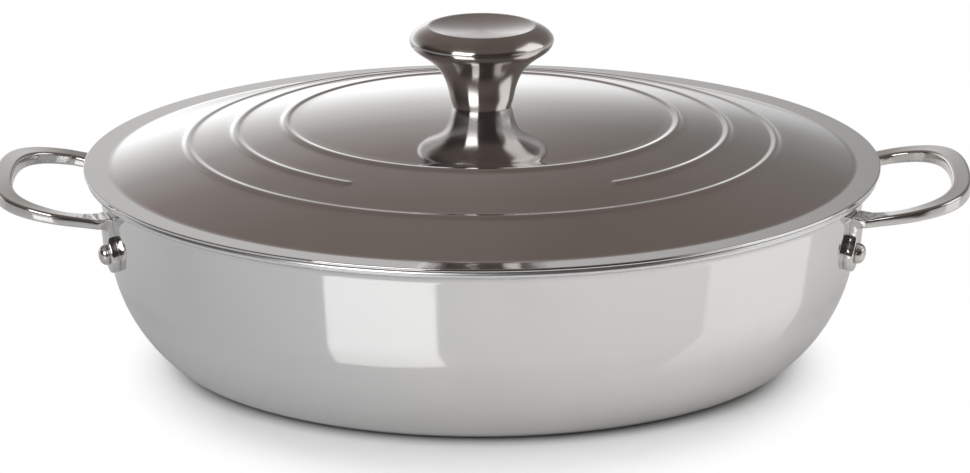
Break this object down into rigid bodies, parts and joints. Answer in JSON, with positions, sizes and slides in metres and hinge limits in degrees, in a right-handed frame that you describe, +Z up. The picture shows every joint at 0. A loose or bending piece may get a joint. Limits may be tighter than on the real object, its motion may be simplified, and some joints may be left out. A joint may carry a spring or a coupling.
{
  "type": "braiser with lid",
  "caption": "Shallow three-ply steel braiser with flared lip, riveted loop handles and a domed lid with pressed rings and a mushroom knob.",
  "frame": {"origin": "centre of the base where it rests on the hob", "axes": "+Z up out of the pan, +X through the right handle, -Y towards the front, where the middle ring of the lid is left open"},
  "size_m": [0.39, 0.318, 0.1336],
  "materials": {
    "pan_steel": "polished",
    "core_aluminium": "satin",
    "cooking_steel": "satin",
    "handle_steel": "polished",
    "rivet_steel": "polished",
    "lid_steel": "polished",
    "ring_steel": "satin",
    "knob_steel": "satin",
    "fixing_steel": "satin"
  },
  "bodies": {
    "pan": {"pan_outer_ply": "pan_steel", "pan_core_ply": "core_aluminium", "pan_inner_ply": "cooking_steel", "right_handle": "handle_steel", "left_handle": "handle_steel", "right_handle_rivets": "rivet_steel", "left_handle_rivets": "rivet_steel"},
    "lid": {"lid_shell": "lid_steel", "lid_locating_ring": "ring_steel", "lid_knob": "knob_steel", "knob_washer": "fixing_steel", "knob_screw": "fixing_steel"}
  },
  "joints": [
    {"name": "lid_lift", "type": "slide", "parent": "pan", "child": "lid", "axis": [0, 0, 1], "range_m": [0, 0.12]}
  ]
}
